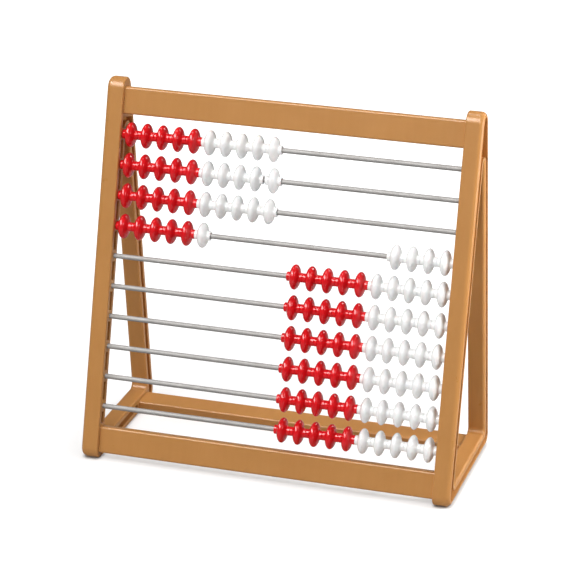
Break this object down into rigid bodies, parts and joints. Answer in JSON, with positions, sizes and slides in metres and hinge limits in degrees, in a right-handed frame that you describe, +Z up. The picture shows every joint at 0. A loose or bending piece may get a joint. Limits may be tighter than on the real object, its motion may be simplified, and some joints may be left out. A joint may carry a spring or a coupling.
{
  "type": "counting frame",
  "caption": "Free-standing counting frame: triangular side frames, three rails, and steel rods across a sloping front that carry sliding red and white disc beads.",
  "frame": {"origin": "bottom centre of the bounding box, on the surface that the feet stand on, midway between the side frames", "axes": "+X along the rods towards the right-hand side frame, +Y from the sloping bead face towards the back leg, +Z up"},
  "size_m": [0.305, 0.1298, 0.2955],
  "materials": {
    "frame_plastic": "satin injection moulded, caramel tan",
    "rod_steel": "drawn steel wire, plain",
    "bead_red": "glossy moulded, bright red",
    "bead_white": "glossy moulded, white"
  },
  "bodies": {
    "frame": {"left_side_frame": "frame_plastic", "right_side_frame": "frame_plastic", "top_rail": "frame_plastic", "bottom_front_rail": "frame_plastic", "bottom_rear_rail": "frame_plastic", "rod_1": "rod_steel", "rod_2": "rod_steel", "rod_3": "rod_steel", "rod_4": "rod_steel", "rod_5": "rod_steel", "rod_6": "rod_steel", "rod_7": "rod_steel", "rod_8": "rod_steel", "rod_9": "rod_steel", "rod_10": "rod_steel"},
    "row_1_reds": {"row_1_red_beads": "bead_red"},
    "row_1_whites": {"row_1_white_beads": "bead_white"},
    "row_2_first_nine": {"row_2_red_beads": "bead_red", "row_2_white_beads": "bead_white"},
    "row_2_last_bead": {"row_2_white_bead_end": "bead_white"},
    "row_3_reds": {"row_3_red_beads": "bead_red"},
    "row_3_whites": {"row_3_white_beads": "bead_white"},
    "row_4_left_six": {"row_4_red_beads": "bead_red", "row_4_white_bead_left": "bead_white"},
    "row_4_right_four": {"row_4_white_beads_right": "bead_white"},
    "row_5_whites": {"row_5_white_beads": "bead_white"},
    "row_5_reds": {"row_5_red_beads": "bead_red"},
    "row_6_whites": {"row_6_white_beads": "bead_white"},
    "row_6_reds": {"row_6_red_beads": "bead_red"},
    "row_7_whites": {"row_7_white_beads": "bead_white"},
    "row_7_reds": {"row_7_red_beads": "bead_red"},
    "row_8_whites": {"row_8_white_beads": "bead_white"},
    "row_8_reds": {"row_8_red_beads": "bead_red"},
    "row_9_whites": {"row_9_white_beads": "bead_white"},
    "row_9_reds": {"row_9_red_beads": "bead_red"},
    "row_10_whites": {"row_10_white_beads": "bead_white"},
    "row_10_reds": {"row_10_red_beads": "bead_red"}
  },
  "joints": [
    {"name": "row_1_reds_slide", "type": "slide", "parent": "frame", "child": "row_1_reds", "axis": [1, 0, 0], "range_m": [0, 0.1439]},
    {"name": "row_1_whites_slide", "type": "slide", "parent": "row_1_reds", "child": "row_1_whites", "axis": [-1, 0, 0], "range_m": [-0.1439, 0]},
    {"name": "row_2_first_nine_slide", "type": "slide", "parent": "frame", "child": "row_2_first_nine", "axis": [1, 0, 0], "range_m": [0, 0.1423]},
    {"name": "row_2_last_bead_slide", "type": "slide", "parent": "row_2_first_nine", "child": "row_2_last_bead", "axis": [-1, 0, 0], "range_m": [-0.1423, 0.0016]},
    {"name": "row_3_reds_slide", "type": "slide", "parent": "frame", "child": "row_3_reds", "axis": [1, 0, 0], "range_m": [0, 0.1439]},
    {"name": "row_3_whites_slide", "type": "slide", "parent": "row_3_reds", "child": "row_3_whites", "axis": [-1, 0, 0], "range_m": [-0.1439, 0]},
    {"name": "row_4_left_six_slide", "type": "slide", "parent": "frame", "child": "row_4_left_six", "axis": [1, 0, 0], "range_m": [0, 0.1439]},
    {"name": "row_4_right_four_slide", "type": "slide", "parent": "frame", "child": "row_4_right_four", "axis": [1, 0, 0], "range_m": [-0.1439, 0]},
    {"name": "row_5_whites_slide", "type": "slide", "parent": "frame", "child": "row_5_whites", "axis": [1, 0, 0], "range_m": [-0.1439, 0]},
    {"name": "row_5_reds_slide", "type": "slide", "parent": "row_5_whites", "child": "row_5_reds", "axis": [-1, 0, 0], "range_m": [0, 0.1439]},
    {"name": "row_6_whites_slide", "type": "slide", "parent": "frame", "child": "row_6_whites", "axis": [1, 0, 0], "range_m": [-0.1439, 0]},
    {"name": "row_6_reds_slide", "type": "slide", "parent": "row_6_whites", "child": "row_6_reds", "axis": [-1, 0, 0], "range_m": [0, 0.1439]},
    {"name": "row_7_whites_slide", "type": "slide", "parent": "frame", "child": "row_7_whites", "axis": [1, 0, 0], "range_m": [-0.1439, 0]},
    {"name": "row_7_reds_slide", "type": "slide", "parent": "row_7_whites", "child": "row_7_reds", "axis": [-1, 0, 0], "range_m": [0, 0.1439]},
    {"name": "row_8_whites_slide", "type": "slide", "parent": "frame", "child": "row_8_whites", "axis": [1, 0, 0], "range_m": [-0.1439, 0]},
    {"name": "row_8_reds_slide", "type": "slide", "parent": "row_8_whites", "child": "row_8_reds", "axis": [-1, 0, 0], "range_m": [0, 0.1439]},
    {"name": "row_9_whites_slide", "type": "slide", "parent": "frame", "child": "row_9_whites", "axis": [1, 0, 0], "range_m": [-0.1439, 0]},
    {"name": "row_9_reds_slide", "type": "slide", "parent": "row_9_whites", "child": "row_9_reds", "axis": [-1, 0, 0], "range_m": [0, 0.1439]},
    {"name": "row_10_whites_slide", "type": "slide", "parent": "frame", "child": "row_10_whites", "axis": [1, 0, 0], "range_m": [-0.1439, 0]},
    {"name": "row_10_reds_slide", "type": "slide", "parent": "row_10_whites", "child": "row_10_reds", "axis": [-1, 0, 0], "range_m": [0, 0.1439]}
  ]
}
